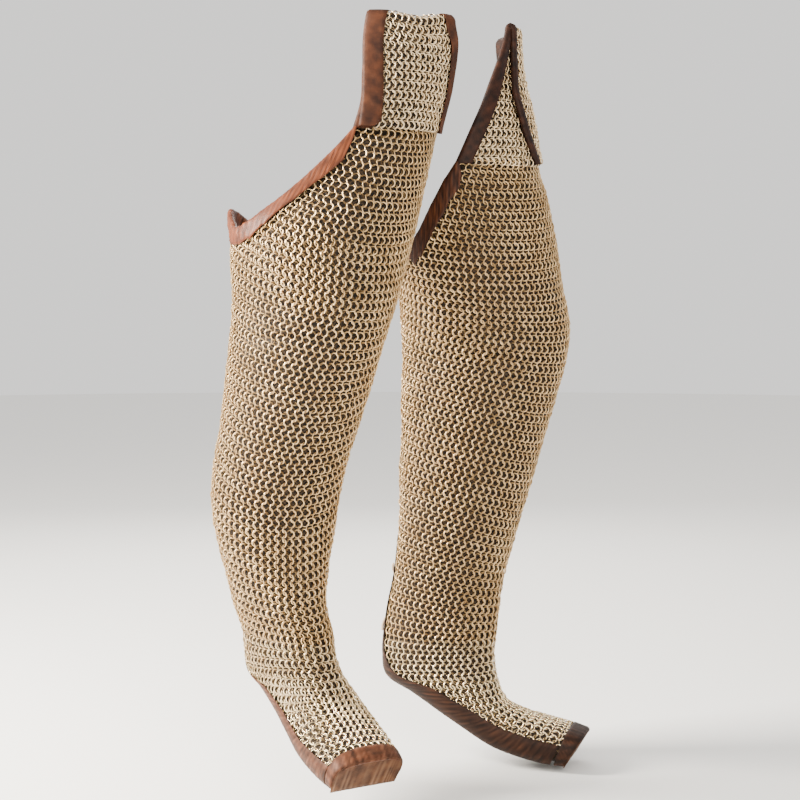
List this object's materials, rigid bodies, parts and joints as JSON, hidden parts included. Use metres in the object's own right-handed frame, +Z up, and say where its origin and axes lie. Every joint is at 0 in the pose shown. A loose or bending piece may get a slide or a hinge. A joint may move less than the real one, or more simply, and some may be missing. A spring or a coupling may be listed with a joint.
{
  "type": "pair of mail leg coverings",
  "caption": "Pair of steel mail leg coverings with covered feet, leather-bound edges, laced back slits and front tabs folded over a belt.",
  "frame": {"origin": "under the fold of the right leg's hip tab, where the wearer's belt carries it", "axes": "+Z up, the wearer faces -Y, +X towards the wearer's left, the pair in the walking stance of the picture"},
  "size_m": [0.5829, 0.3883, 1.133],
  "materials": {
    "mail": "linked steel rings, worn, warm tone",
    "foot_mail": "linked steel rings, bright where rubbed",
    "tab_mail": "densely hanging linked steel rings",
    "rim_leather": "reddish brown, cross-wrinkled, slight sheen",
    "tab_leather": "dark brown, worn",
    "edge_leather": "dark brown, worn",
    "toe_leather": "brown, ribbed across",
    "thong": "light tan thong"
  },
  "bodies": {
    "root": {"thigh_mail_right": "mail", "shin_mail_right": "mail", "foot_mail_right": "foot_mail", "hip_tab_mail_right": "tab_mail", "hip_tab_inner_binding_right": "tab_leather", "hip_tab_outer_binding_right": "tab_leather", "rim_binding_right": "rim_leather", "sole_outer_binding_right": "edge_leather", "sole_inner_binding_right": "edge_leather", "toe_binding_right": "edge_leather", "toe_strip_right": "toe_leather", "lace_upper_right": "thong", "lace_lower_right": "thong", "thigh_mail_left": "mail", "shin_mail_left": "mail", "foot_mail_left": "foot_mail", "hip_tab_mail_left": "tab_mail", "hip_tab_inner_binding_left": "tab_leather", "hip_tab_outer_binding_left": "tab_leather", "rim_binding_left": "rim_leather", "sole_outer_binding_left": "edge_leather", "sole_inner_binding_left": "edge_leather", "toe_binding_left": "edge_leather", "toe_strip_left": "toe_leather", "lace_upper_left": "thong", "lace_lower_left": "thong"}
  },
  "joints": []
}
